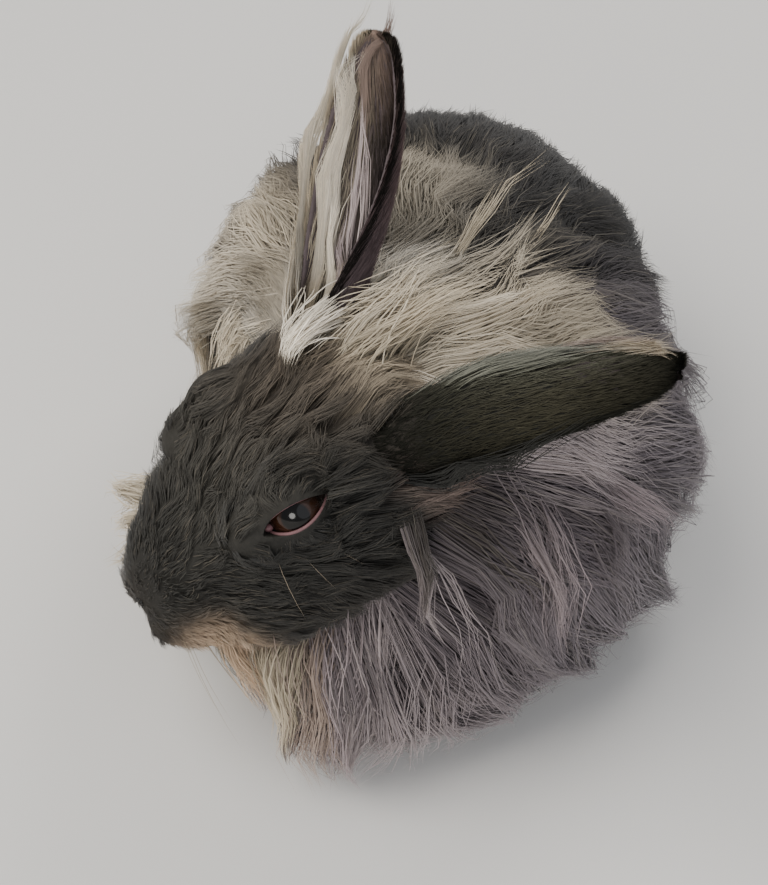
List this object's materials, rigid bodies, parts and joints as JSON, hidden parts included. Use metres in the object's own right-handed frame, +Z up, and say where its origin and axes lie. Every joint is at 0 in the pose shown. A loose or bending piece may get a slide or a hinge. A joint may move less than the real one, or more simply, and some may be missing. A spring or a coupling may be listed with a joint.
{
  "type": "lionhead rabbit, life-size still model",
  "caption": "Life-size lionhead rabbit crouched with its head low and turned, long wool mane, one ear up and one held out sideways.",
  "frame": {"origin": "middle of the whole animal's box on the floor it rests on", "axes": "+Z up, the body faces -Y and its left side is +X; the head is turned to the animal's right"},
  "size_m": [0.1544, 0.231, 0.163],
  "materials": {
    "face_fur": "short near-black fur",
    "back_fur": "dark brown-grey coat",
    "mane_wool": "long pale beige and mauve-grey wool",
    "ear_fur": "short grey-brown fur",
    "foot_fur": "short dark fur",
    "eye": "wet dark brown"
  },
  "bodies": {
    "root": {"ear_left": "ear_fur", "ear_right": "ear_fur", "eye_left": "eye", "eye_right": "eye", "foreleg_left": "foot_fur", "foreleg_right": "foot_fur", "head": "face_fur", "hindfoot_left": "foot_fur", "hindfoot_right": "foot_fur", "neck": "mane_wool", "tail": "back_fur", "thigh_left": "back_fur", "thigh_right": "back_fur", "torso": "back_fur"}
  },
  "joints": []
}
